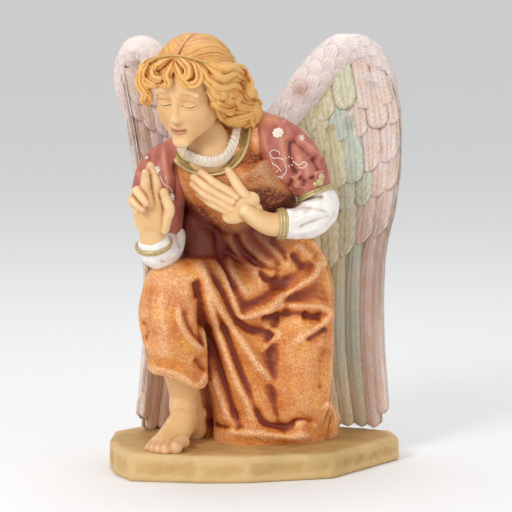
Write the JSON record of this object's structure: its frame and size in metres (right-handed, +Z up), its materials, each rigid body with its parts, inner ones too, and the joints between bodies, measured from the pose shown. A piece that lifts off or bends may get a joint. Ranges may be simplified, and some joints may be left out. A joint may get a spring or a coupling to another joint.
{
  "type": "kneeling angel figurine",
  "caption": "Winged angel in a long robe kneeling on one knee with a hand raised and a hand on the breast, on a low irregular plinth, in painted cast resin",
  "frame": {"origin": "middle of the plinth's flat underside", "axes": "+Z up, the front of the plinth towards -Y, +X towards the angel's left hand side"},
  "size_m": [0.3208, 0.2262, 0.4789],
  "materials": {
    "plinth": "tan painted cast resin, worn pale at the edges, with a brown wash",
    "figure": "hand-painted satin cast resin: orange robe with a red-brown wash, rose and white sleeves, ivory skin, golden hair",
    "wings": "pearly pink, cream and mint painted cast resin with a brown wash in the feathers"
  },
  "bodies": {
    "root": {"plinth": "plinth", "figure": "figure", "left_wing": "wings", "right_wing": "wings"}
  },
  "joints": []
}
